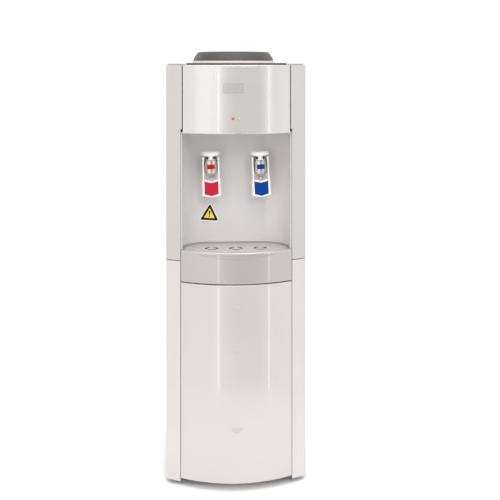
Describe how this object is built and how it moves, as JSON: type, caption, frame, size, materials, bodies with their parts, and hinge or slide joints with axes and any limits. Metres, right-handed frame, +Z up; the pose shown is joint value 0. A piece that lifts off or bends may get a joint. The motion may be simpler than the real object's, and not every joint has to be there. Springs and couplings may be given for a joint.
{
  "type": "water dispenser",
  "caption": "Floor-standing top-loading hot and cold water dispenser: bowed front, tap niche with push levers, pull-out drip tray and a bottle collar on top.",
  "frame": {"origin": "middle of the footprint, on the floor", "axes": "+Z up, the cabinet's length; front faces -Y; +X to the right seen from the front"},
  "size_m": [0.31, 0.3429, 0.952],
  "materials": {
    "white_shell": "satin white",
    "pearl_panel": "glossy pearl silver paint",
    "door_panel": "glossy pearl white",
    "niche": "satin light grey",
    "tray": "pearl grey",
    "grille": "satin grey",
    "side_steel": "powder coat",
    "dark_frame": "matt black",
    "badge": "satin silver",
    "lens_red": "clear red",
    "lens_yellow": "clear yellow-green",
    "board": "circuit board",
    "collar": "satin dark grey",
    "probe": "white",
    "steel": "stainless",
    "zinc": "zinc plated",
    "foam": "white foam",
    "copper": "drawn copper",
    "black_metal": "satin black",
    "rubber": "matt",
    "relay": "black",
    "silicone": "translucent silicone",
    "tap_metal": "satin silver",
    "tap_white": "gloss white",
    "spring_steel": "spring wire",
    "hot_red": "gloss red",
    "cold_blue": "gloss blue",
    "markers": "gloss red and blue",
    "rocker_red": "gloss red",
    "rocker_green": "gloss green"
  },
  "bodies": {
    "cabinet": {"corner_column_upper_left": "white_shell", "corner_column_upper_right": "white_shell", "corner_column_lower_left": "white_shell", "corner_column_lower_right": "white_shell", "top_cover": "white_shell", "seat_ring": "white_shell", "upper_front_panel": "pearl_panel", "lower_front_panel": "door_panel", "niche_liner": "niche", "side_panel_left": "side_steel", "side_panel_right": "side_steel", "rear_panel": "side_steel", "switch_plate": "side_steel", "front_frame": "dark_frame", "badge_plate": "badge", "indicator_lens_red": "lens_red", "indicator_lens_yellow": "lens_yellow", "indicator_board": "board", "cold_baffle": "probe", "cold_tank": "steel", "hot_tank": "steel", "hot_tank_heater": "steel", "base_pan": "zinc", "tank_shelves": "zinc", "rear_screws": "zinc", "lever_pins": "zinc", "foam_jackets": "foam", "evaporator_coil": "copper", "refrigerant_lines": "copper", "compressor": "black_metal", "condenser_tube": "black_metal", "condenser_frame": "black_metal", "rubber_feet": "rubber", "compressor_mounts": "rubber", "top_seals": "rubber", "relay_cover": "relay", "drain_port": "relay", "power_inlet_gland": "relay", "hoses": "silicone", "hot_tap_body": "tap_metal", "cold_tap_body": "tap_metal", "hot_tap_cap": "tap_white", "cold_tap_cap": "tap_white", "tap_nuts": "tap_white", "hot_tap_spring": "spring_steel", "cold_tap_spring": "spring_steel", "tap_markers": "markers"},
    "hot_lever": {"hot_lever": "tap_white", "hot_lever_insert": "hot_red"},
    "cold_lever": {"cold_lever": "tap_white", "cold_lever_insert": "cold_blue"},
    "hot_valve": {"hot_valve_plunger": "rubber"},
    "cold_valve": {"cold_valve_plunger": "rubber"},
    "tray": {"drip_tray": "tray"},
    "grille": {"drip_grille": "grille"},
    "collar": {"bottle_collar": "collar", "feed_probe": "probe"},
    "heating_switch": {"heating_rocker": "rocker_red"},
    "cooling_switch": {"cooling_rocker": "rocker_green"},
    "drain_cap": {"drain_cap": "relay"}
  },
  "joints": [
    {"name": "hot_lever_push", "type": "hinge", "parent": "cabinet", "child": "hot_lever", "pos_m": [-0.05595, -0.094, 0.71099], "axis": [0.9997, 0, 0.0262], "range_deg": [0, 15], "stiffness_Nm_per_rad": 0.15, "springref_deg": -20.05},
    {"name": "hot_valve_lift", "type": "slide", "parent": "cabinet", "child": "hot_valve", "axis": [-0.0262, 0, 0.9997], "range_m": [0, 0.0025], "deforming": ["hot_tap_spring"]},
    {"name": "cold_lever_push", "type": "hinge", "parent": "cabinet", "child": "cold_lever", "pos_m": [0.05461, -0.094, 0.71098], "axis": [0.9986, 0, 0.0523], "range_deg": [0, 15], "stiffness_Nm_per_rad": 0.15, "springref_deg": -20.05},
    {"name": "cold_valve_lift", "type": "slide", "parent": "cabinet", "child": "cold_valve", "axis": [-0.0523, 0, 0.9986], "range_m": [0, 0.0025], "deforming": ["cold_tap_spring"]},
    {"name": "tray_slide", "type": "slide", "parent": "cabinet", "child": "tray", "axis": [0, -1, 0], "range_m": [0, 0.12]},
    {"name": "grille_lift", "type": "slide", "parent": "tray", "child": "grille", "axis": [0, 0, 1], "range_m": [0, 0.06]},
    {"name": "collar_lift", "type": "slide", "parent": "cabinet", "child": "collar", "axis": [0, 0, 1], "range_m": [0, 0.1]},
    {"name": "heating_switch_rock", "type": "hinge", "parent": "cabinet", "child": "heating_switch", "pos_m": [0.078, 0.13, 0.855], "axis": [1, 0, 0], "range_deg": [0, 16]},
    {"name": "cooling_switch_rock", "type": "hinge", "parent": "cabinet", "child": "cooling_switch", "pos_m": [0.102, 0.13, 0.855], "axis": [1, 0, 0], "range_deg": [0, 16]},
    {"name": "drain_cap_turn", "type": "hinge", "parent": "cabinet", "child": "drain_cap", "pos_m": [0, 0.142, 0.5], "axis": [0, 1, 0], "continuous": true}
  ],
  "couplings": [
    {"joint": "hot_valve_lift", "follows": "hot_lever_push", "m_per_rad": 0.0095493},
    {"joint": "cold_valve_lift", "follows": "cold_lever_push", "m_per_rad": 0.0095493}
  ]
}
